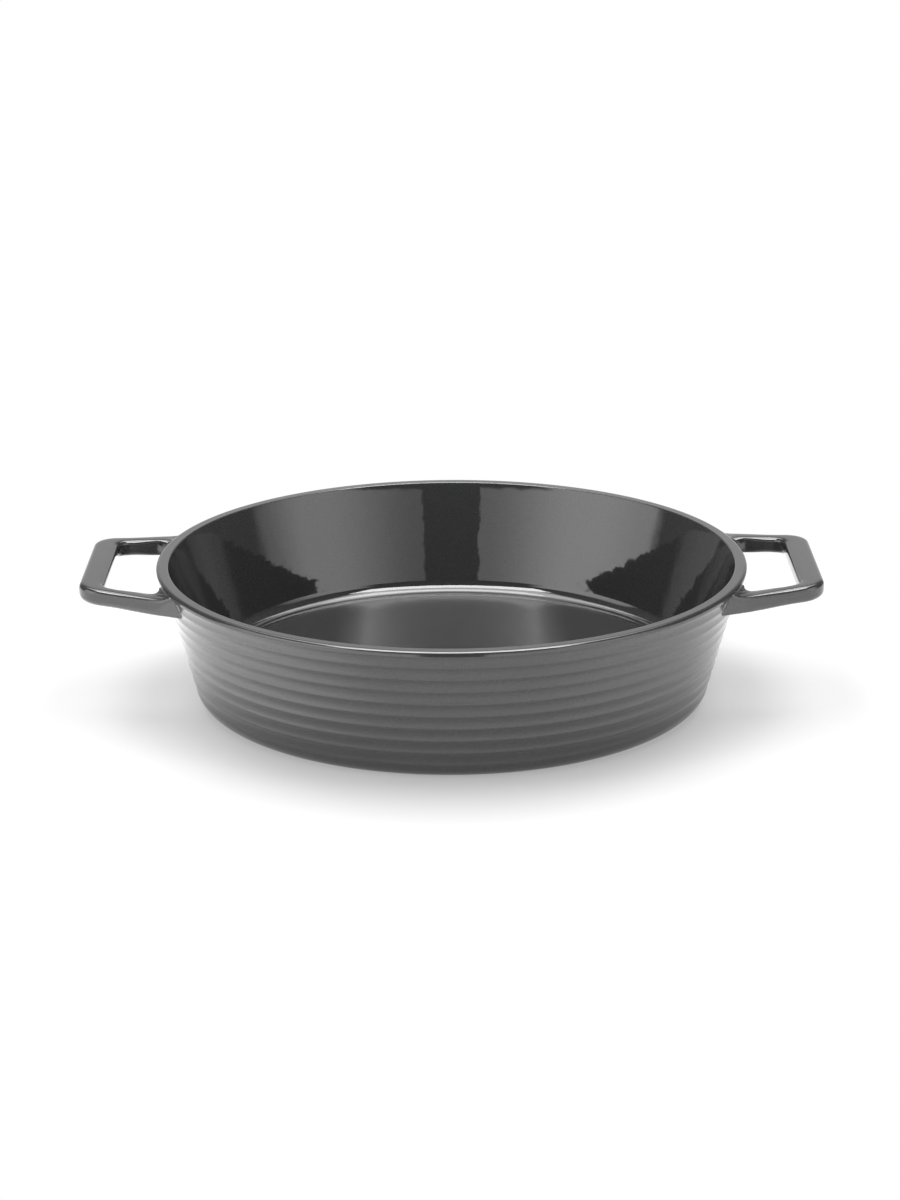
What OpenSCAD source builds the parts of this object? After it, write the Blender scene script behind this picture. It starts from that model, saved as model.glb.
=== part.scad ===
// Round stoneware gratin dish with two loop handles, cast and glazed as one piece.
// The origin is under the centre of the foot, +Z is up and the handles lie along X.

/* [Bowl] */
// Outer diameter of the rim
rim_d = 260; // [220:1:320]
// Height from the foot to the top of the rim
dish_h = 61.2; // [50:0.1:80]
// Lean of the outer wall below its flare from upright, in degrees
outer_taper = 14.9; // [8:0.1:20]
// Lean of the inner wall from upright, in degrees
inner_taper = 16.4; // [8:0.1:22]
// Thickness of the wall where it starts to flare, measured level
wall_t = 4.4; // [3:0.1:5]
// Thickness of the floor
floor_t = 7.8; // [5:0.1:10]
// Rounding between the wall and the floor inside
inner_round = 7; // [3:0.1:12]
// Rounding between the wall and the foot outside
base_round = 8.5; // [4:0.1:12]

/* [Rim] */
// Width of the flat rim
rim_w = 5.2; // [4.8:0.1:8]
// Depth of the rim band
rim_h = 2.5; // [2.2:0.1:4]
// How far the rim band stands out from the flared wall
rim_proud = 0.5; // [0.3:0.1:1.5]
// Rounding of the rim's edges
rim_round = 1.1; // [0.5:0.1:1.1]

/* [Flutes] */
// Height from one crest to the next
flute_pitch = 5.9; // [4:0.1:8]
// Depth of each flute below the crests
flute_depth = 0.5; // [0.2:0.05:0.8]
// Width of the narrow crest left between two flutes
crest_w = 0.7; // [0.4:0.1:1.5]
// Height from the top of the rim down to the first crest
first_crest = 7.6; // [6:0.1:9]
// Distance of the first flute's round ends from the line through both handles
first_flute_end = 53; // [52:0.5:60]
// Number of flutes on the flared part of the wall, counted from the rim
flared_flutes = 3; // [2:1:5]

/* [Foot] */
// Width of the ring that the dish stands on
foot_w = 6; // [4:0.5:12]
// Depth of the hollow inside the ring
foot_h = 3.2; // [1.5:0.1:5]
// Slope of the hollow's side from level, in degrees
foot_slope = 55; // [40:1:75]

/* [Handles] */
// Reach of a handle past the rim
handle_reach = 31.2; // [26:0.1:45]
// Width over the side bars, measured level with the edge of the rim
handle_w = 94.5; // [80:0.5:104]
// Turn of each side bar towards the middle, in degrees
handle_taper = 17.5; // [5:0.5:22]
// Thickness of a handle
handle_t = 7.2; // [5:0.1:9]
// Width of the side bars
bar_w = 7; // [5.5:0.1:10]
// Width of the outer bar
grip_w = 10.8; // [7:0.1:14]
// Drop from the top of the rim to the top of a handle, level with the edge of the rim
handle_drop = 3.2; // [2.8:0.1:6]
// Rise of a handle outwards, in degrees
handle_rise = 4; // [0:0.5:6]
// Outer corner radius, seen from above
corner_r = 12; // [8:0.5:16]
// Corner radius of the finger gap
window_r = 6.5; // [3:0.5:8]
// Rounding of the handle's long edges
edge_r = 2.2; // [1:0.1:2.4]
// Blend between a side bar and the wall, on the outer side
root_outer_r = 4; // [3:0.5:12]
// Blend between a side bar and the wall, on the finger gap's side
root_inner_r = 9; // [3:0.5:10]
// Blend between the underside of a side bar and the wall
root_under_r = 5; // [1:0.5:7]
// Blend between the top of a side bar and the rim band
root_top_r = 5; // [1:0.5:6]
// Angle at which the side bar's blends meet the wall, seen from above
root_meet = 30; // [10:1:35]

/* [Hidden] */
$fn = 72;
glaze = [0.27, 0.27, 0.28];

rim_r = rim_d / 2;
rim_base = dish_h - rim_h;
floor_z = foot_h + floor_t;
// Radius of the small turns under the rim band and at the edges of the foot
small_r = 0.8;
// How far the top of a handle climbs the rim band's face
climb = 1.5;
// How far a handle stops short of the inside face of the wall
cover = 1.2;
// Steps in a round stretch, round the edge of a handle's bar and inside the wall
arc_steps = 9;
edge_steps = 4;
root_steps = 3;

// Radius of the inner wall at a height
function inner_wall(z) = rim_r - rim_w - (dish_h - z) * tan(inner_taper);
// Where the outer wall starts to flare: the lowest crest of the flared flutes
flare_z = dish_h - first_crest - (flared_flutes - 1) * flute_pitch;
flare_r = inner_wall(flare_z) + wall_t;
flare_taper = atan((rim_r - rim_proud - flare_r) / (rim_base - flare_z));
function lean(z) = z < flare_z ? outer_taper : flare_taper;
// Radius of the outer wall at a height, over the crests
function outer_wall(z) = flare_r + (z - flare_z) * tan(lean(z));
// Points along an arc, from one angle to another
function arc(centre, r, from, to, steps = arc_steps) =
    [for (i = [0:steps]) let (a = from + (to - from) * i / steps) centre + r * [cos(a), sin(a)]];

// Centres of the round stretches of the section
rim_outer_c = [rim_r - rim_round, dish_h - rim_round];
rim_inner_c = [inner_wall(dish_h - rim_round) + rim_round / cos(inner_taper), dish_h - rim_round];
inner_c = [inner_wall(floor_z + inner_round) - inner_round / cos(inner_taper), floor_z + inner_round];
base_c = [outer_wall(base_round) - base_round / cos(outer_taper), base_round];
step_r = min(small_r, rim_proud / 3);
step_z = rim_base - step_r;
step_c = [outer_wall(step_z) + step_r / cos(flare_taper), step_z];
foot_in_c = [base_c.x - foot_w, small_r];
// The hollow's side meets its roof at this radius
hollow_r = foot_in_c.x - small_r * tan(foot_slope / 2) - foot_h / tan(foot_slope);
// The crests go down to where the wall turns into the foot
base_top = base_round * (1 - sin(outer_taper));
flute_count = 1 + floor((dish_h - first_crest - base_top) / flute_pitch);
// Width of a flute between its crests, and radius of its round cutter
flute_w = flute_pitch / cos(outer_taper) - crest_w;
flute_r = (flute_w * flute_w / 4 + flute_depth * flute_depth) / (2 * flute_depth);

// Half section of the bowl, without the flutes
module bowl_outline() {
    polygon(concat(
        [[0, foot_h], [hollow_r, foot_h]],
        arc(foot_in_c, small_r, -90 - foot_slope, -90, 3),
        arc(base_c, base_round, -90, -outer_taper),
        [[flare_r, flare_z]],
        arc(step_c, step_r, 180 - flare_taper, 90, 3),
        [[rim_r - rim_round / 2, rim_base], [rim_r, rim_base + rim_round / 2]],
        arc(rim_outer_c, rim_round, 0, 90, 4),
        arc(rim_inner_c, rim_round, 90, 180 - inner_taper, 4),
        arc(inner_c, inner_round, -inner_taper, -90),
        [[0, floor_z]]
    ));
}

// Height of a flute's middle, counted down from the rim
function flute_z(i) = dish_h - first_crest - (i - 0.5) * flute_pitch;
// Centre of a flute's round cutter, as a radius and a height
function flute_c(z) =
    [outer_wall(z), z] + (flute_r - flute_depth) * [cos(lean(z)), -sin(lean(z))];

// Cutter of the first flute, which ends in a round beside each handle
module first_flute() {
    c = flute_c(flute_z(0));
    turn = asin((first_flute_end + flute_w / 2) / outer_wall(flute_z(0)));
    intersection() {
        for (side = [0, 180]) {
            rotate(side + turn)
                rotate_extrude(angle = 180 - 2 * turn)
                    translate(c)
                        circle(flute_r);
            for (end = [turn, 180 - turn])
                rotate(side + end)
                    translate([c.x, 0, c.y])
                        sphere(flute_r);
        }
        cylinder(h = step_z, r = rim_r);
    }
}

// Fluted wall, rim band, floor and foot, turned in one
module bowl() {
    difference() {
        rotate_extrude()
            difference() {
                bowl_outline();
                for (i = [1:flute_count - 1])
                    translate(flute_c(flute_z(i)))
                        circle(flute_r);
            }
        first_flute();
    }
}

// A side bar is measured along its outer edge, from the rim outwards, and inwards from that edge
function on_bar(along, inwards) = [
    rim_r + along * cos(handle_taper) - inwards * sin(handle_taper),
    handle_w / 2 - along * sin(handle_taper) - inwards * cos(handle_taper)
];
// Where a line along the side bar comes a distance from the dish's own axis
function bar_at_radius(inwards, r) =
    let (
        start = on_bar(0, inwards),
        b = start.x * cos(handle_taper) - start.y * sin(handle_taper),
        c = start * start - r * r
    )
    sqrt(b * b - c) - b;
// Where a line along the side bar comes a distance outwards from the rim
function bar_at_reach(inwards, x) = (x + inwards * sin(handle_taper)) / cos(handle_taper);

turn_angle = 90 - handle_taper;
// Height of a handle's underside, level with the edge of the rim
under_z = dish_h - handle_drop - handle_t;
// Height of a handle's middle, and the radius at which its blends seen from above meet the wall there
mid_z = under_z + handle_t / 2;
wall_r = outer_wall(mid_z) - flute_depth;
// How far the centre of such a blend lies outside that radius
function meet(r) = r * cos(root_meet);

// Centres of the round stretches of the side bar's outer edge, at the wall and at the corner
root_outer_c = on_bar(bar_at_radius(-root_outer_r, wall_r + meet(root_outer_r)), -root_outer_r);
corner_c = on_bar(bar_at_reach(corner_r, handle_reach - corner_r), corner_r);
// The same along the finger gap
gap_root_in = bar_w + root_inner_r;
root_inner_c = on_bar(bar_at_radius(gap_root_in, wall_r + meet(root_inner_r)), gap_root_in);
window_in = bar_w + window_r;
window_c = on_bar(bar_at_reach(window_in, handle_reach - grip_w - window_r), window_in);

function bearing(p) = atan2(p.y, p.x);
// Both edges of one half of the handle, from the wall to the outer corner
outer_edge = concat(
    arc(root_outer_c, root_outer_r, 180 + bearing(root_outer_c) + root_meet, 180 + turn_angle),
    arc(corner_c, corner_r, turn_angle, 0)
);
inner_edge = concat(
    arc(root_inner_c, root_inner_r, 180 + bearing(root_inner_c) - root_meet, turn_angle),
    arc(window_c, window_r, turn_angle, 0)
);

// Cross-section of the bar, from its outer edge and its underside
function bar_section(w) = [
    for (corner = [[edge_r, edge_r, 180], [w - edge_r, edge_r, 270],
                   [w - edge_r, handle_t - edge_r, 0], [edge_r, handle_t - edge_r, 90]])
        each arc([corner.x, corner.y], edge_r, corner.z, corner.z + 90, edge_steps)
];
// Height of a round blend at a distance from what it blends into
function blend(x, r) = x >= r ? 0 : r - sqrt(max(0, r * r - pow(r - max(x, 0), 2)));
// How far a height on a blend lies outwards of its middle, where it leans with the wall
function leaned(z) = (z - mid_z) * tan(flare_taper);
// A point of the bar, at its height over the foot, blended into the wall and the rim band
function raised(p, h) =
    let (
        up = h / handle_t,
        top_gap = rim_base + climb - (dish_h - handle_drop) - (norm(p) - rim_r) * tan(handle_rise),
        lift = blend(norm(p) - rim_r, root_top_r) / root_top_r * top_gap,
        fall = blend(norm(p) - outer_wall(under_z - root_under_r), root_under_r),
        z = under_z + h + (p.x - rim_r) * tan(handle_rise) + up * lift - (1 - up) * fall,
        lean_share = max(0, min(1, 1 - (norm(p) - wall_r) / root_inner_r)),
        out = 1 + lean_share * leaned(z) / norm(p)
    )
    [p.x * out, p.y * out, z];
// A ring of points round the bar, drawn into the wall by a share of the wall's thickness
function ring(outer, inner, into = 0) =
    let (w = norm(outer - inner))
    [
        for (q = bar_section(w))
            let (
                p = outer + (inner - outer) * q.x / w,
                z = raised(p, q.y).z,
                r = norm(p) + into * (inner_wall(z) + cover - leaned(z) - norm(p))
            )
            raised(p * r / norm(p), q.y)
    ];
rings = concat(
    [for (i = [root_steps:-1:1]) ring(outer_edge[0], inner_edge[0], i / root_steps)],
    [for (i = [0:len(outer_edge) - 1]) ring(outer_edge[i], inner_edge[i])]
);

// One handle: a bar swept from the wall, round the finger gap and back to the wall
module handle() {
    n = len(rings[0]);
    half = len(rings);
    all_rings = concat(rings, [for (i = [half - 1:-1:0]) [for (p = rings[i]) [p.x, -p.y, p.z]]]);
    polyhedron(
        points = [for (r = all_rings) each r],
        faces = concat(
            [for (i = [1:n - 2]) [0, i + 1, i]],
            [for (i = [1:n - 2]) let (s = (2 * half - 1) * n) [s, s + i, s + i + 1]],
            [
                for (k = [0:2 * half - 2], i = [0:n - 1])
                    let (a = k * n + i, b = k * n + (i + 1) % n)
                    each [[a, b + n, a + n], [a, b, b + n]]
            ]
        ),
        convexity = 4
    );
}

module dish() {
    color(glaze) {
        bowl();
        handle();
        mirror([1, 0, 0])
            handle();
    }
}

dish();
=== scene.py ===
"""A round stoneware gratin dish with two loop handles, dressed in its dark grey glaze.

The dish is one cast piece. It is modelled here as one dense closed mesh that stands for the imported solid.
Lengths in the modelling functions are in millimetres, and MM turns them into metres.
"""

import math

import bpy
import numpy as np
from mathutils import Matrix, Vector


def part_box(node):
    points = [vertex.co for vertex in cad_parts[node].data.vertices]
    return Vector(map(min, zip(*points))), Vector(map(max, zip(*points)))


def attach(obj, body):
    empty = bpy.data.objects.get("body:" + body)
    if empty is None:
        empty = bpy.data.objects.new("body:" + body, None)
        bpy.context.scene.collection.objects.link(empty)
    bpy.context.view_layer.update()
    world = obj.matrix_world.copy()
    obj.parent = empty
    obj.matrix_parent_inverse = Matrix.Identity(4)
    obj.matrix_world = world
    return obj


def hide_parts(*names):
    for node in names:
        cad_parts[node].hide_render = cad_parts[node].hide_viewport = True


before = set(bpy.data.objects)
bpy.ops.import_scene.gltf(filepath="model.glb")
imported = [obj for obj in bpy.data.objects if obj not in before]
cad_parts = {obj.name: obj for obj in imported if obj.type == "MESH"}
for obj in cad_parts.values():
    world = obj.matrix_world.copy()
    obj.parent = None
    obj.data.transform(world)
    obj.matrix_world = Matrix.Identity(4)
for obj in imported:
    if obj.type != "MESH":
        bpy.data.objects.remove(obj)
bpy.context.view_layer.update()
MM = 0.001

# Overall sizes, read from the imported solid
dish_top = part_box("dish")[1]
RIM_R = dish_top.y / MM
DISH_H = dish_top.z / MM
HANDLE_REACH = (dish_top.x - dish_top.y) / MM

# Bowl
OUTER_TAPER = 14.9  # lean of the outer wall, in degrees from upright
INNER_TAPER = 16.4  # lean of the inner wall, in degrees from upright
WALL_T = 4.4  # level thickness of the wall, over the crests
FLOOR_T = 7.8
INNER_ROUND = 7  # between the inner wall and the floor
BASE_ROUND = 8.5  # between the outer wall and the foot
RIM_W = 5.2
RIM_H = 2.5
RIM_PROUD = 0.5  # how far the rim band stands out over the wall
RIM_ROUND = 1.4  # outer edge of the rim's top
RIM_IN_ROUND = 0.7  # inner edge of the rim's top
BAND_ROUND = 0.25  # lower edge of the rim band
STEP_R = 0.15  # fillet under the rim band

# Flutes
FLUTE_PITCH = 5.9
FLUTE_DEPTH = 0.5
CREST_W = 0.7
CREST_ROUND = 0.07
FIRST_CREST = 7.6  # how far the first crest lies below the rim's top
FIRST_FLUTE_END = 53  # how far the first flute's ends lie from the line through both handles
FLARED_FLUTES = 3  # flutes from the top over which the wall flares

# Foot
FOOT_W = 6
FOOT_H = 3.2  # depth of the hollow inside the foot ring
FOOT_SLOPE = 55  # inner side of the foot ring, in degrees from level
FOOT_R = 0.8

# Handles
HANDLE_W = 94.5  # over both side bars, as far out as the rim
HANDLE_TAPER = 17.5  # turn of a side bar towards the middle, in degrees
HANDLE_T = 7.2
BAR_W = 7  # side bars
GRIP_W = 10.8  # outer bar
HANDLE_DROP = 3.2  # how far the bar's top lies below the rim's top
HANDLE_RISE = 4  # rise of the handle outwards, in degrees
CORNER_R = 12
WINDOW_R = 6.5
EDGE_R = 2.2
ROOT_OUTER_R = 4
ROOT_INNER_R = 9
ROOT_UNDER_R = 5
ROOT_TOP_R = 5
ROOT_MEET = 30  # angle between a root's side fillets and the wall, in degrees
CLIMB = 1.5  # how far the bar's top runs up the rim band
COVER = 1.2  # wall that is left between the bar's sunk end and the bowl

# Steps of the half section, from the middle of the underside to the middle of the floor
HOLLOW_STEPS = 9
FOOT_STEPS = 4
FOOT_FLAT_STEPS = 3
BASE_STEPS = 16
CREST_STEPS = 14
STEP_STEPS = 5
LEDGE_STEPS = 2
BAND_STEPS = 4
RIM_STEPS = 7
RIM_FLAT_STEPS = 4
WALL_STEPS = 12
FILLET_STEPS = 18
FLOOR_STEPS = 14

# Steps round the dish, and how closely they lie at the first flute's ends
TURN_STEPS = 288
FLUTE_END_STEPS = 16
FLUTE_END_REACH = 0.7  # in widths of a flute
FLUTE_END_START = 0.1  # as a share of that reach

# Steps of the handles
EDGE_STEPS = 6
BAR_FLAT_STEPS = 3
BAR_SIDE_STEPS = 2
ROOT_STEPS = 22
BAR_STEPS = 14
CORNER_STEPS = 20
GRIP_STEPS = 6
INTO_STEPS = 3

# Where the fluted wall takes over from the rounds at its foot and top
BASE_LEAVE = 3  # degrees of the foot's round that are left out
WALL_START = 0.3  # height from the end of the foot's round
STEP_LEAVE = 168  # bearing on the fillet under the rim band, in degrees
CREST_PULL = 0.72  # how much closer the heights lie at the crests

RIM_BASE = DISH_H - RIM_H
FLOOR_Z = FOOT_H + FLOOR_T


def cos(angle):
    return math.cos(math.radians(angle))


def sin(angle):
    return math.sin(math.radians(angle))


def tan(angle):
    return math.tan(math.radians(angle))


def inner_wall(z):
    """Radius of the inner wall at a height."""
    return RIM_R - RIM_W - (DISH_H - z) * tan(INNER_TAPER)


# The outer wall flares above the lowest crest of the flared flutes
FLARE_Z = DISH_H - FIRST_CREST - (FLARED_FLUTES - 1) * FLUTE_PITCH
FLARE_R = inner_wall(FLARE_Z) + WALL_T
FLARE_TAPER = math.degrees(math.atan((RIM_R - RIM_PROUD - FLARE_R) / (RIM_BASE - FLARE_Z)))


def lean(z):
    """Lean of the outer wall from upright at a height, in degrees."""
    return np.where(z < FLARE_Z, OUTER_TAPER, FLARE_TAPER)


def outer_wall(z):
    """Radius of the outer wall at a height, over the crests."""
    return FLARE_R + (z - FLARE_Z) * np.tan(np.radians(lean(z)))


def arc(centre, radius, start, end, steps):
    """Points along an arc, as rows."""
    angles = np.radians(np.linspace(start, end, steps + 1))
    return np.stack([centre[0] + radius * np.cos(angles), centre[1] + radius * np.sin(angles)], 1)


def line(start, end, steps):
    """Points along a straight line, without its two ends, as rows."""
    shares = np.linspace(0, 1, steps + 1)[1:-1, None]
    return np.array(start) * (1 - shares) + np.array(end) * shares


FLUTE_CHORD = FLUTE_PITCH / cos(OUTER_TAPER) - CREST_W
FIRST_FLUTE_Z = DISH_H - FIRST_CREST + FLUTE_PITCH / 2
FIRST_FLUTE_TURN = math.asin((FIRST_FLUTE_END + FLUTE_CHORD / 2) / outer_wall(FIRST_FLUTE_Z))


def past_first_flute(angle):
    """How far an angle lies past the middle of the first flute's round end, along the wall."""
    from_handles = math.asin(min(1, abs(math.sin(angle))))
    return max(0, FIRST_FLUTE_TURN - from_handles) * outer_wall(FIRST_FLUTE_Z)


def flute_sink(z, past):
    """How far the fluted surface lies inside the line over the crests. The crests are slightly rounded."""
    along = ((z - (DISH_H - FIRST_CREST)) / FLUTE_PITCH) % 1 - 0.5
    past = np.where(z > DISH_H - FIRST_CREST, past, 0)
    from_middle = (along * FLUTE_PITCH / cos(OUTER_TAPER)) ** 2 + past ** 2
    hollow = FLUTE_DEPTH * (1 - from_middle * (2 / FLUTE_CHORD) ** 2)
    return (hollow + np.sqrt(hollow * hollow + CREST_ROUND * CREST_ROUND)) / 2


def fluted(z, past):
    """Points of the fluted wall at heights on the line over the crests, as rows."""
    sink = flute_sink(z, past)
    leans = np.radians(lean(z))
    return np.stack([outer_wall(z) - sink * np.cos(leans), z + sink * np.sin(leans)], 1)


def flute_heights(low, high):
    """Heights along the fluted wall, closer together at the crests."""
    first = (low - (DISH_H - FIRST_CREST)) / FLUTE_PITCH
    last = (high - (DISH_H - FIRST_CREST)) / FLUTE_PITCH
    even = np.linspace(first, last, round((last - first) * CREST_STEPS) + 1)
    pulled = even - CREST_PULL * np.sin(2 * math.pi * even) / (2 * math.pi)
    inside = (pulled > first) & (pulled < last)
    return DISH_H - FIRST_CREST + FLUTE_PITCH * np.concatenate([[first], pulled[inside], [last]])


def bowl_profile(past):
    """Half section of the bowl from the middle of the underside, round the rim, to the middle of the floor.

    past is how far the section lies past the middle of the first flute's round end.
    """
    rim_outer = (RIM_R - RIM_ROUND, DISH_H - RIM_ROUND)
    rim_inner = (inner_wall(DISH_H - RIM_IN_ROUND) + RIM_IN_ROUND / cos(INNER_TAPER), DISH_H - RIM_IN_ROUND)
    inner = (inner_wall(FLOOR_Z + INNER_ROUND) - INNER_ROUND / cos(INNER_TAPER), FLOOR_Z + INNER_ROUND)
    base = (outer_wall(BASE_ROUND) - BASE_ROUND / cos(OUTER_TAPER), BASE_ROUND)
    foot_in = (base[0] - FOOT_W, FOOT_R)
    hollow_r = foot_in[0] - FOOT_R * tan(FOOT_SLOPE / 2) - FOOT_H / tan(FOOT_SLOPE)
    hollow = (hollow_r - FOOT_R * tan(FOOT_SLOPE / 2), FOOT_H - FOOT_R)
    step_z = RIM_BASE - STEP_R
    base_top = BASE_ROUND * (1 - sin(OUTER_TAPER))
    wall = fluted(flute_heights(base_top + WALL_START, step_z), past)
    step = (wall[-1][0] + STEP_R, step_z)
    band = (RIM_R - BAND_ROUND, RIM_BASE + BAND_ROUND)
    wall_in_top = rim_inner + RIM_IN_ROUND * np.array([-cos(INNER_TAPER), -sin(INNER_TAPER)])
    wall_in_foot = np.array(inner) + INNER_ROUND * np.array([cos(INNER_TAPER), -sin(INNER_TAPER)])
    pieces = [
        line((0, FOOT_H), (hollow[0], FOOT_H), HOLLOW_STEPS),
        arc(hollow, FOOT_R, 90, 90 - FOOT_SLOPE, FOOT_STEPS),
        arc(foot_in, FOOT_R, -90 - FOOT_SLOPE, -90, FOOT_STEPS),
        line(foot_in - np.array([0, FOOT_R]), (base[0], 0), FOOT_FLAT_STEPS),
        arc(base, BASE_ROUND, -90, -OUTER_TAPER - BASE_LEAVE, BASE_STEPS),
        wall,
        arc(step, STEP_R, STEP_LEAVE, 90, STEP_STEPS),
        line(step + np.array([0, STEP_R]), (band[0], RIM_BASE), LEDGE_STEPS),
        arc(band, BAND_ROUND, -90, 0, BAND_STEPS),
        arc(rim_outer, RIM_ROUND, 0, 90, RIM_STEPS),
        line((rim_outer[0], DISH_H), (rim_inner[0], DISH_H), RIM_FLAT_STEPS),
        arc(rim_inner, RIM_IN_ROUND, 90, 180 - INNER_TAPER, RIM_STEPS),
        line(wall_in_top, wall_in_foot, WALL_STEPS),
        arc(inner, INNER_ROUND, -INNER_TAPER, -90, FILLET_STEPS),
        line((inner[0], FLOOR_Z), (0, FLOOR_Z), FLOOR_STEPS),
    ]
    return np.concatenate(pieces)


def turn_angles():
    """Angles of the turned sections, closer together at the first flute's round ends."""
    angles = set(np.linspace(0, 2 * math.pi, TURN_STEPS, endpoint=False).tolist())
    reach = FLUTE_END_REACH * FLUTE_CHORD / outer_wall(FIRST_FLUTE_Z)
    for end in (FIRST_FLUTE_TURN, math.pi - FIRST_FLUTE_TURN):
        for side in (0, math.pi):
            away = 1 if end < math.pi / 2 else -1
            close = end + side - away * np.linspace(-FLUTE_END_START * reach, reach, FLUTE_END_STEPS)
            angles |= set(close.tolist())
    return sorted(angles)


def turned_bowl():
    """(points, faces) of the profile turned round the dish's own axis."""
    angles = turn_angles()
    points = []
    for angle in angles:
        profile = bowl_profile(past_first_flute(angle))
        points += [(r * math.cos(angle), r * math.sin(angle), z) for r, z in profile]
    count = len(profile)
    under = len(points)
    floor = under + 1
    points += [(0, 0, FOOT_H), (0, 0, FLOOR_Z)]
    faces = []
    for k in range(len(angles)):
        a = k * count
        b = (k + 1) % len(angles) * count
        faces.append((under, b, a))
        faces.append((floor, a + count - 1, b + count - 1))
        faces += [(a + i, b + i, b + i + 1, a + i + 1) for i in range(count - 1)]
    return points, faces


def on_bar(along, inwards):
    """A point seen from above, by its way along a side bar from the rim and inwards from the outer edge."""
    return np.array([
        RIM_R + along * cos(HANDLE_TAPER) - inwards * sin(HANDLE_TAPER),
        HANDLE_W / 2 - along * sin(HANDLE_TAPER) - inwards * cos(HANDLE_TAPER),
    ])


def bar_at_radius(inwards, radius):
    """Where a line along the side bar comes a distance from the dish's own axis."""
    start = on_bar(0, inwards)
    b = start[0] * cos(HANDLE_TAPER) - start[1] * sin(HANDLE_TAPER)
    return math.sqrt(b * b - (start @ start - radius * radius)) - b


def bar_at_reach(inwards, x):
    """Where a line along the side bar comes a distance outwards from the rim."""
    return (x + inwards * sin(HANDLE_TAPER)) / cos(HANDLE_TAPER)


UNDER_Z = DISH_H - HANDLE_DROP - HANDLE_T
MID_Z = UNDER_Z + HANDLE_T / 2
WALL_R = float(outer_wall(MID_Z)) - FLUTE_DEPTH


def root_centre(inwards, radius):
    """Centre of a root's side fillet, seen from above, on a line along the side bar."""
    return on_bar(bar_at_radius(inwards, WALL_R + radius * cos(ROOT_MEET)), inwards)


def corner_centre(inwards, reach):
    """Centre of a corner's round, seen from above, on a line along the side bar."""
    return on_bar(bar_at_reach(inwards, reach), inwards)


def handle_edges():
    """Both edges of one half of the handle seen from above, from the wall to the middle of the outer bar."""
    turn = 90 - HANDLE_TAPER
    root_out = root_centre(-ROOT_OUTER_R, ROOT_OUTER_R)
    root_in = root_centre(BAR_W + ROOT_INNER_R, ROOT_INNER_R)
    corner = corner_centre(CORNER_R, HANDLE_REACH - CORNER_R)
    window = corner_centre(BAR_W + WINDOW_R, HANDLE_REACH - GRIP_W - WINDOW_R)

    def edge(root, root_r, first, last, bend, bend_r):
        opening = arc(root, root_r, first, last, ROOT_STEPS)
        closing = arc(bend, bend_r, turn, 0, CORNER_STEPS)
        middle = (closing[-1][0], 0)
        return np.concatenate([
            opening,
            line(opening[-1], closing[0], BAR_STEPS),
            closing,
            line(closing[-1], middle, GRIP_STEPS),
            [middle],
        ])

    bearing_out = math.degrees(math.atan2(root_out[1], root_out[0]))
    bearing_in = math.degrees(math.atan2(root_in[1], root_in[0]))
    outer = edge(root_out, ROOT_OUTER_R, 180 + bearing_out + ROOT_MEET, 180 + turn, corner, CORNER_R)
    inner = edge(root_in, ROOT_INNER_R, 180 + bearing_in - ROOT_MEET, turn, window, WINDOW_R)
    return outer, inner


def bar_section(width):
    """Cross-section of the bar, from its outer edge and its underside, as rows."""
    w, t, r = width, HANDLE_T, EDGE_R
    return np.concatenate([
        arc((r, r), r, 180, 270, EDGE_STEPS),
        line((r, 0), (w - r, 0), BAR_FLAT_STEPS),
        arc((w - r, r), r, 270, 360, EDGE_STEPS),
        line((w, r), (w, t - r), BAR_SIDE_STEPS),
        arc((w - r, t - r), r, 0, 90, EDGE_STEPS),
        line((w - r, t), (r, t), BAR_FLAT_STEPS),
        arc((r, t - r), r, 90, 180, EDGE_STEPS),
        line((0, t - r), (0, r), BAR_SIDE_STEPS),
    ])


def blend(x, r):
    """Height of a round blend at a distance from what it blends into."""
    return 0.0 if x >= r else r - math.sqrt(max(0, r * r - (r - max(x, 0)) ** 2))


def leaned(z):
    """How far a height on a blend lies outwards of its middle, where it leans with the wall."""
    return (z - MID_Z) * tan(FLARE_TAPER)


def raised(p, h):
    """A point of the bar, at its height over the bar's underside, blended into the wall and the rim band."""
    up = h / HANDLE_T
    radius = math.hypot(p[0], p[1])
    top_gap = RIM_BASE + CLIMB - (DISH_H - HANDLE_DROP) - (radius - RIM_R) * tan(HANDLE_RISE)
    lift = blend(radius - RIM_R, ROOT_TOP_R) / ROOT_TOP_R * top_gap
    fall = blend(radius - float(outer_wall(UNDER_Z - ROOT_UNDER_R)), ROOT_UNDER_R)
    z = UNDER_Z + h + (p[0] - RIM_R) * tan(HANDLE_RISE) + up * lift - (1 - up) * fall
    lean_share = max(0, min(1, 1 - (radius - WALL_R) / ROOT_INNER_R))
    out = 1 + lean_share * leaned(z) / radius
    return [p[0] * out, p[1] * out, z]


def ring(outer, inner, into=0.0):
    """A ring of points round the bar, drawn into the wall by a share of the wall's thickness."""
    width = np.linalg.norm(outer - inner)
    found = []
    for across, up in bar_section(width):
        p = outer + (inner - outer) * across / width
        radius = np.linalg.norm(p)
        z = raised(p, up)[2]
        drawn = radius + into * (inner_wall(z) + COVER - leaned(z) - radius)
        found.append(raised(p * drawn / radius, up))
    return found


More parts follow.
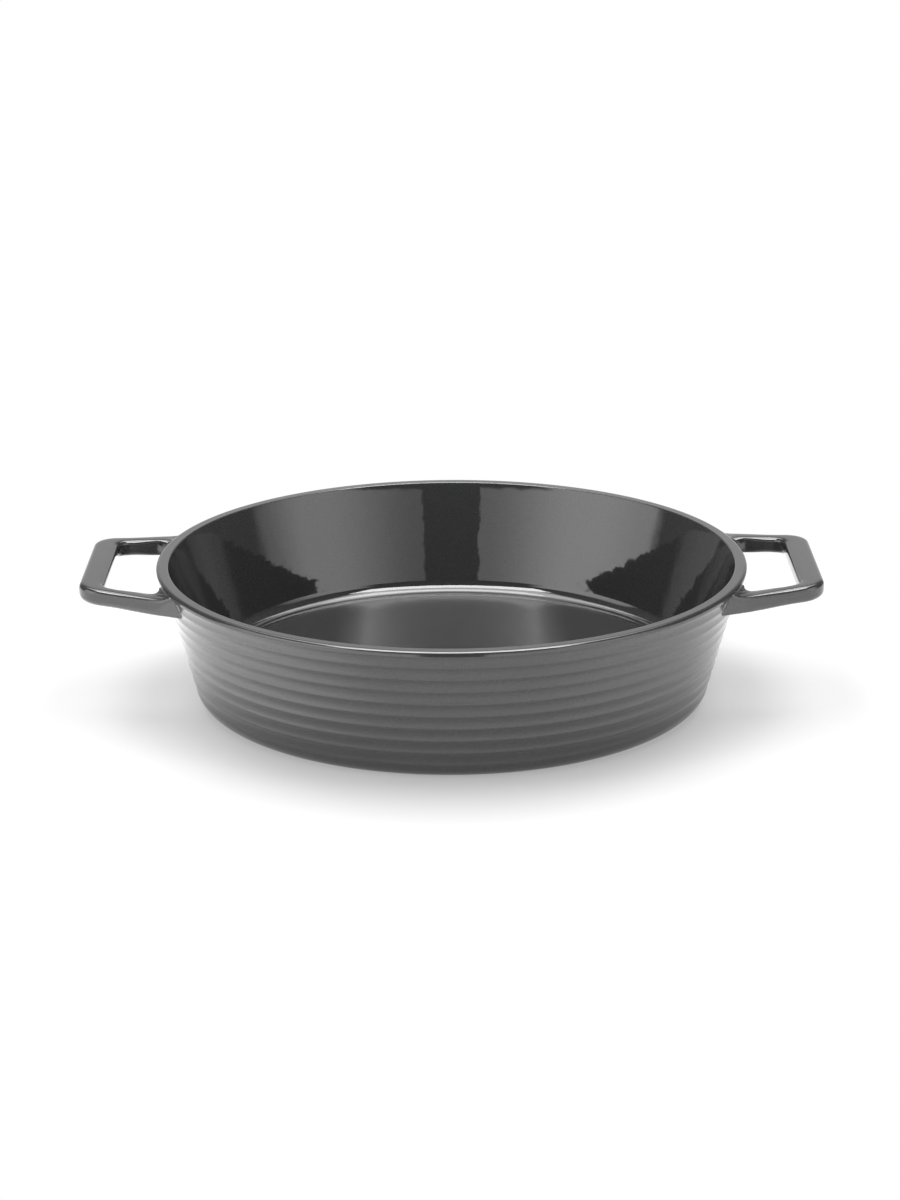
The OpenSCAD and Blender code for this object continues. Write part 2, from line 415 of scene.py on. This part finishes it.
def handle(side):
    """(points, faces) of the handle on one side, 1 for +X and -1 for -X."""
    outer, inner = handle_edges()
    sunk = [ring(outer[0], inner[0], i / INTO_STEPS) for i in range(INTO_STEPS, 0, -1)]
    half = sunk + [ring(outer[i], inner[i]) for i in range(len(outer))]
    far = [[[x, -y, z] for x, y, z in r] for r in half[-2::-1]]
    rings = half + far
    n = len(rings[0])
    last = (len(rings) - 1) * n
    points = [[side * x, y, z] for r in rings for x, y, z in r]
    faces = [tuple(range(n)), tuple(last + i for i in reversed(range(n)))]
    for k in range(len(rings) - 1):
        for i in range(n):
            a = k * n + i
            b = k * n + (i + 1) % n
            faces.append((a, a + n, b + n, b))
    if side < 0:
        faces = [f[::-1] for f in faces]
    return points, faces


def mesh_object(name, points, faces):
    """A mesh object in metres from points in millimetres."""
    mesh = bpy.data.meshes.new(name)
    mesh.from_pydata((np.array(points) * MM).tolist(), [], faces)
    mesh.update()
    obj = bpy.data.objects.new(name, mesh)
    bpy.context.scene.collection.objects.link(obj)
    return obj


def join_solids(body, others):
    """Unites other closed meshes with body, and deletes them."""
    for other in others:
        union = body.modifiers.new("union", "BOOLEAN")
        union.operation = "UNION"
        union.solver = "MANIFOLD"
        union.object = other
    dg = bpy.context.evaluated_depsgraph_get()
    mesh = bpy.data.meshes.new_from_object(body.evaluated_get(dg), depsgraph=dg)
    body.modifiers.clear()
    body.data = mesh
    for other in others:
        bpy.data.objects.remove(other)


def make_dish():
    """The whole dish as one closed smooth mesh."""
    dish = mesh_object("gratin_dish", *turned_bowl())
    join_solids(dish, [mesh_object("handle", *handle(side)) for side in (1, -1)])
    for polygon in dish.data.polygons:
        polygon.use_smooth = True
    dish.data.materials.clear()
    dish.data.materials.append(glaze_material())
    return dish


# Short calls for material nodes

def node_tree(owner):
    """(nodes, links) of a material or world, emptied of all nodes."""
    owner.use_nodes = True
    owner.node_tree.nodes.clear()
    return owner.node_tree.nodes, owner.node_tree.links


def add_maths(nodes, links, operation, *values):
    """The result of a sum on sockets and plain numbers."""
    node = nodes.new("ShaderNodeMath")
    node.operation = operation
    for socket, value in zip(node.inputs, values):
        if isinstance(value, bpy.types.NodeSocket):
            links.new(value, socket)
        else:
            socket.default_value = value
    return node.outputs[0]


def add_noise(nodes, links, vector, scale, detail, roughness):
    """Noise by place, from 0 to 1."""
    noise = nodes.new("ShaderNodeTexNoise")
    noise.inputs["Scale"].default_value = scale
    noise.inputs["Detail"].default_value = detail
    noise.inputs["Roughness"].default_value = roughness
    links.new(vector, noise.inputs["Vector"])
    return noise.outputs["Fac"]


def add_step(nodes, links, value, start, end, low=0.0, high=1.0):
    """A value that turns smoothly from low to high as another goes from start to end."""
    step = nodes.new("ShaderNodeMapRange")
    step.interpolation_type = "SMOOTHSTEP"
    step.inputs["From Min"].default_value = start
    step.inputs["From Max"].default_value = end
    step.inputs["To Min"].default_value = low
    step.inputs["To Max"].default_value = high
    links.new(value, step.inputs["Value"])
    return step.outputs["Result"]


def add_window(nodes, links, value, start, end, soft):
    """One between start and end, and zero outside, with soft edges."""
    rise = add_step(nodes, links, value, start - soft / 2, start + soft / 2)
    fall = add_step(nodes, links, value, end - soft / 2, end + soft / 2, 1.0, 0.0)
    return add_maths(nodes, links, "MULTIPLY", rise, fall)


def add_bump(nodes, links, height, distance, normal=None):
    """A normal bent by a height, over another normal if one is given."""
    bump = nodes.new("ShaderNodeBump")
    bump.inputs["Distance"].default_value = distance
    links.new(height, bump.inputs["Height"])
    if normal:
        links.new(normal, bump.inputs["Normal"])
    return bump.outputs["Normal"]


def add_place(nodes, links):
    """(place, x, y, z, radius) in the dish's own frame, in metres. radius is taken from the dish's axis."""
    place = nodes.new("ShaderNodeTexCoord").outputs["Object"]
    axes = nodes.new("ShaderNodeSeparateXYZ")
    links.new(place, axes.inputs[0])
    x, y, z = axes.outputs
    squares = [add_maths(nodes, links, "MULTIPLY", v, v) for v in (x, y)]
    radius = add_maths(nodes, links, "SQRT", add_maths(nodes, links, "ADD", *squares))
    return place, x, y, z, radius


# Glaze. Scales are per metre, and heights in metres.
GLAZE_IOR = 1.8
WALL_IN_ROUGHNESS = 0.04
FLOOR_IN_ROUGHNESS = 0.25
FLUTED_ROUGHNESS = 0.18
RIM_ROUGHNESS = 0.1
GRAIN = {"scale": 2600, "detail": 2.0, "roughness": 0.6}
GRAIN_DARK = (0.024, 0.024, 0.0247, 1)
GRAIN_PALE = (0.058, 0.058, 0.0597, 1)
GRAIN_RANGE = (0.3, 0.7)
SATIN = {"scale": 1500, "detail": 1.0, "roughness": 0.5}
SATIN_HIGH = 0.00002
WAVES = {"scale": 170, "detail": 1.0, "roughness": 0.4}
WAVE_HIGH = 0.00005
WAVES_OUTSIDE = 0.3

# Where one finish of the glaze turns into the next, in millimetres
WALL_IN_EDGE = (0.8, 1.6)  # outwards from the inner wall
FLOOR_IN_EDGE = (101, 104)  # from the dish's axis
BAND_EDGE = 0.2  # below the rim band
FLUTED_EDGE = (-0.2, 2)  # outwards from the rim


def glaze_material():
    """Dark grey glaze with a fine grain, mirror-like on the inner wall and satin on the flutes and floor."""
    material = bpy.data.materials.new("glaze")
    nodes, links = node_tree(material)
    output = nodes.new("ShaderNodeOutputMaterial")
    shader = nodes.new("ShaderNodeBsdfPrincipled")
    links.new(shader.outputs["BSDF"], output.inputs["Surface"])
    shader.inputs["IOR"].default_value = GLAZE_IOR
    place, _, _, z, radius = add_place(nodes, links)

    def maths(operation, *values):
        return add_maths(nodes, links, operation, *values)

    def turn(value, edge, low, high):
        return add_step(nodes, links, value, edge[0] * MM, edge[1] * MM, low, high)

    def mixed(low, high, share):
        return add_step(nodes, links, share, 0, 1, low, high)

    # How far a place lies outside the inner wall, level, and which of the four finishes it has
    past_wall = maths("SUBTRACT", radius, maths("MULTIPLY", z, tan(INNER_TAPER)))
    wall_foot = inner_wall(0)
    outside = turn(past_wall, [wall_foot + edge for edge in WALL_IN_EDGE], 0, 1)
    floor_in = turn(radius, FLOOR_IN_EDGE, 1, 0)
    below_rim = turn(z, (RIM_BASE - BAND_EDGE, RIM_BASE), 1, 0)
    on_wall = turn(radius, [RIM_R + edge for edge in FLUTED_EDGE], 1, 0)
    fluted_part = maths("MULTIPLY", below_rim, on_wall)

    inner = mixed(WALL_IN_ROUGHNESS, FLOOR_IN_ROUGHNESS, floor_in)
    outer = mixed(RIM_ROUGHNESS, FLUTED_ROUGHNESS, fluted_part)
    blend_in = maths("MULTIPLY", inner, maths("SUBTRACT", 1.0, outside))
    blend_out = maths("MULTIPLY", outer, outside)
    links.new(maths("ADD", blend_in, blend_out), shader.inputs["Roughness"])

    colour = nodes.new("ShaderNodeValToRGB")
    for stop, position, shade in zip(colour.color_ramp.elements, GRAIN_RANGE, (GRAIN_DARK, GRAIN_PALE)):
        stop.position = position
        stop.color = shade
    links.new(add_noise(nodes, links, place, **GRAIN), colour.inputs["Fac"])
    links.new(colour.outputs["Color"], shader.inputs["Base Color"])

    # The glaze runs in shallow waves, and has a fine satin grain where it is not mirror-like
    wave_share = mixed(1.0, WAVES_OUTSIDE, outside)
    waves = maths("MULTIPLY", add_noise(nodes, links, place, **WAVES), wave_share)
    satin_share = maths("MAXIMUM", maths("MULTIPLY", fluted_part, outside), floor_in)
    satin = maths("MULTIPLY", add_noise(nodes, links, place, **SATIN), satin_share)
    wavy = add_bump(nodes, links, waves, WAVE_HIGH)
    links.new(add_bump(nodes, links, satin, SATIN_HIGH, wavy), shader.inputs["Normal"])
    return material


# Floor, in metres
FLOOR_R = 0.25
FLOOR_TOP = -0.0001
FLOOR_SIDES = 120
FLOOR_COLOUR = 0.65
FLOOR_LIFT = 0.32  # its own light for the camera, mirrors and glass, which brings the paper to white

# Painted pool of light: a glow in the floor's own material round the dish, seen in the glaze only. It rises
# with the distance from the dish's axis, and more on the left and right than in the middle.
PAINTED_POOL = {"start": 0.112, "full": 0.168, "glow": 0.12, "left": 0.74, "right": 0.24}
PAINTED_POOL_SIDES = (0.05, 0.15)


def seen_or_mirrored(nodes, links):
    """One for what the camera sees straight, in a mirror or through glass."""
    path = nodes.new("ShaderNodeLightPath")
    seen = path.outputs["Is Camera Ray"]
    for ray in ("Is Glossy Ray", "Is Transmission Ray"):
        seen = add_maths(nodes, links, "ADD", seen, path.outputs[ray])
    return add_maths(nodes, links, "MINIMUM", seen, 1.0)


def painted_floor_pool(nodes, links):
    """Painted pool of light: how brightly the floor round the dish glows in the glaze, over its own light.
    """
    _, x, _, _, radius = add_place(nodes, links)
    near, far = PAINTED_POOL_SIDES
    left = add_step(nodes, links, x, -far, -near, PAINTED_POOL["left"], 0)
    right = add_step(nodes, links, x, near, far, 0, PAINTED_POOL["right"])
    sides = add_maths(nodes, links, "ADD", left, right)
    glow = add_maths(nodes, links, "ADD", sides, PAINTED_POOL["glow"])
    rise = add_step(nodes, links, radius, PAINTED_POOL["start"], PAINTED_POOL["full"])
    return add_maths(nodes, links, "MULTIPLY", glow, rise)


def floor_material():
    """White matt paper, which keeps the shadow of what stands on it."""
    material = bpy.data.materials.new("floor")
    nodes, links = node_tree(material)
    output = nodes.new("ShaderNodeOutputMaterial")
    matt = nodes.new("ShaderNodeBsdfDiffuse")
    matt.inputs["Color"].default_value = (FLOOR_COLOUR, FLOOR_COLOUR, FLOOR_COLOUR, 1)
    lift = nodes.new("ShaderNodeEmission")
    seen = add_maths(nodes, links, "MULTIPLY", seen_or_mirrored(nodes, links), FLOOR_LIFT)
    # Painted pool of light on the floor, which glows in the glaze only
    mirrored = nodes.new("ShaderNodeLightPath").outputs["Is Glossy Ray"]
    pool = add_maths(nodes, links, "MULTIPLY", painted_floor_pool(nodes, links), mirrored)
    links.new(add_maths(nodes, links, "ADD", seen, pool), lift.inputs["Strength"])
    both = nodes.new("ShaderNodeAddShader")
    links.new(matt.outputs[0], both.inputs[0])
    links.new(lift.outputs[0], both.inputs[1])
    links.new(both.outputs[0], output.inputs["Surface"])
    material.cycles.emission_sampling = "NONE"
    return material


def make_floor():
    """A round table top. The white surroundings go on beyond it."""
    mesh = bpy.data.meshes.new("floor")
    turn = np.linspace(0, 2 * math.pi, FLOOR_SIDES, endpoint=False)
    points = [(FLOOR_R * math.cos(t), FLOOR_R * math.sin(t), FLOOR_TOP) for t in turn]
    mesh.from_pydata(points, [], [tuple(range(FLOOR_SIDES))])
    floor = bpy.data.objects.new("floor", mesh)
    bpy.context.scene.collection.objects.link(floor)
    mesh.materials.append(floor_material())


# Studio light by direction. The light overhead goes by its share along X, Y and Z. The side panels go by
# their bearing from straight ahead and their height over the horizon, in degrees. A panel's glow goes from
# near to glow and on to far with the bearing, and low is the glow of what lies below it.
TOP_LIGHT = {"x": (-0.45, 0.45), "y": (-0.22, 0.6), "z": (0.02, 0.06), "soft": 0.12, "glow": 3.8}
LEFT_PANEL = {"near": 0.75, "glow": 2.0, "far": 0.7, "end": 97, "top": 37, "low": 1.4}
RIGHT_PANEL = {"near": 0.5, "glow": 1.5, "far": 0.35, "end": 90, "top": 34, "low": 1.2}
PANEL_START = 12.5
PANEL_BEST = 57  # bearing at which a panel glows most
PANEL_FALL = 65  # bearing from which its glow falls
PANEL_FOOT = (-8, -2)  # heights over which it turns into what lies below it
PANEL_LOW_TOP = 18  # its top, up to where it stands taller
TALL_START = 42  # bearing from which it stands taller
TALL_FADE = (-4, 1)  # heights round its tall top over which it ends
LOW_END = 165  # bearing at which the light below it ends
BEARING_SOFT = {"start": 0.5, "end": 4, "tall": 6, "low": 20}
LOW_TOP_SOFT = 1
ROOM_GLOW = 0.15
BACKDROP = (0.72, 1.08)  # share along Y over which the white backdrop behind the dish sets in


def make_world():
    """White surroundings for the camera, and a studio for light and reflections."""
    world = bpy.data.worlds.new("studio")
    bpy.context.scene.world = world
    nodes, links = node_tree(world)
    output = nodes.new("ShaderNodeOutputWorld")
    background = nodes.new("ShaderNodeBackground")
    background.inputs["Color"].default_value = (1, 1, 1, 1)
    links.new(background.outputs[0], output.inputs["Surface"])
    axes = nodes.new("ShaderNodeSeparateXYZ")
    links.new(nodes.new("ShaderNodeTexCoord").outputs["Generated"], axes.inputs[0])
    x, y, z = axes.outputs

    def maths(operation, *values):
        return add_maths(nodes, links, operation, *values)

    def step(value, start, end, low=0.0, high=1.0):
        return add_step(nodes, links, value, start, end, low, high)

    def edge(value, middle, soft, low=0.0, high=1.0):
        return step(value, middle - soft, middle + soft, low, high)

    height = maths("DEGREES", maths("ARCSINE", z))
    ahead = maths("MULTIPLY", y, -1.0)

    def overhead(box):
        across = add_window(nodes, links, x, *box["x"], box["soft"])
        along = add_window(nodes, links, y, *box["y"], box["soft"])
        seen = maths("MULTIPLY", maths("MULTIPLY", across, along), step(z, *box["z"]))
        return maths("MULTIPLY", seen, box["glow"])

    def upright(panel, side):
        bearing = maths("DEGREES", maths("ARCTAN2", maths("MULTIPLY", x, side), ahead))
        start = edge(bearing, PANEL_START, BEARING_SOFT["start"])
        end = edge(bearing, panel["end"], BEARING_SOFT["end"], 1, 0)
        rise = step(bearing, PANEL_START, PANEL_BEST, panel["near"], panel["glow"])
        fall = step(bearing, PANEL_FALL, panel["end"], 1, panel["far"])
        short = edge(height, PANEL_LOW_TOP, LOW_TOP_SOFT, 1, 0)
        tall = step(height, panel["top"] + TALL_FADE[0], panel["top"] + TALL_FADE[1], 1, 0)
        tall = maths("MULTIPLY", tall, edge(bearing, TALL_START, BEARING_SOFT["tall"]))
        up = maths("MAXIMUM", short, tall)
        glow = maths("MULTIPLY", rise, fall)
        over_foot = maths("MULTIPLY", step(height, *PANEL_FOOT), end)
        above = maths("MULTIPLY", maths("MULTIPLY", glow, up), over_foot)
        low_end = edge(bearing, LOW_END, BEARING_SOFT["low"], 1, 0)
        below = maths("MULTIPLY", step(height, *PANEL_FOOT, panel["low"], 0), low_end)
        return maths("MULTIPLY", maths("ADD", above, below), start)

    glow = ROOM_GLOW
    for light in (overhead(TOP_LIGHT), upright(LEFT_PANEL, -1), upright(RIGHT_PANEL, 1)):
        glow = maths("ADD", light, glow)
    # The backdrop behind the dish is white in reflections too
    path = nodes.new("ShaderNodeLightPath")
    mix = nodes.new("ShaderNodeMix")
    mix.data_type = "FLOAT"
    links.new(maths("MAXIMUM", path.outputs["Is Camera Ray"], step(y, *BACKDROP)), mix.inputs[0])
    links.new(glow, mix.inputs[2])
    mix.inputs[3].default_value = 1.0
    links.new(mix.outputs[0], background.inputs["Strength"])


# Lamps overhead that are seen in the glaze only, by bearing and height in degrees, and size in metres
LAMP_FAR = 1.3
GLOSS_LAMPS = (
    {"name": "front", "bearing": 0, "height": 73, "size": (1.5, 0.46), "glow": 9.0},
    {"name": "back", "bearing": 172, "height": 72, "size": (0.7, 0.4), "glow": 3.5},
)


def make_lamps():
    """Flat lamps that face the dish. A lamp's energy follows from its glow and its area."""
    for lamp in GLOSS_LAMPS:
        data = bpy.data.lights.new(lamp["name"], "AREA")
        data.shape = "RECTANGLE"
        data.size, data.size_y = lamp["size"]
        data.energy = lamp["glow"] * math.pi * data.size * data.size_y
        light = bpy.data.objects.new(lamp["name"], data)
        bpy.context.scene.collection.objects.link(light)
        level = cos(lamp["height"])
        away = Vector((level * sin(lamp["bearing"]), -level * cos(lamp["bearing"]), sin(lamp["height"])))
        light.location = away * LAMP_FAR
        light.rotation_euler = away.to_track_quat("Z", "Y").to_euler()
        light.visible_camera = False
        light.visible_diffuse = False


# Camera. Its place and reach are in metres, its turns in degrees, and its lens is set for a frame of 900 by
# 1200 pixels.
CAMERA_PLACE = (-0.000723, -1.26768, 0.44825)
CAMERA_DOWN = 17.784
CAMERA_ROLL = -0.271
CAMERA_SEES = (0.05, 50)
FRAME_HIGH = 1200
FOCAL_PIXELS = 3000
SENSOR = 36.0


def make_camera():
    """The camera at the viewing angle that shows the dish from the front and slightly above."""
    data = bpy.data.cameras.new("camera")
    data.sensor_fit = "AUTO"
    data.sensor_width = SENSOR
    data.lens = SENSOR * FOCAL_PIXELS / FRAME_HIGH
    data.clip_start, data.clip_end = CAMERA_SEES
    camera = bpy.data.objects.new("camera", data)
    bpy.context.scene.collection.objects.link(camera)
    pitch = Matrix.Rotation(math.radians(90 - CAMERA_DOWN), 4, "X")
    roll = Matrix.Rotation(math.radians(CAMERA_ROLL), 4, "Z")
    camera.matrix_world = Matrix.Translation(CAMERA_PLACE) @ pitch @ roll
    bpy.context.scene.camera = camera


make_camera()
make_world()
make_floor()
make_lamps()
dish = make_dish()
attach(dish, "root")
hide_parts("dish")

bpy.context.scene.view_settings.view_transform = "Standard"
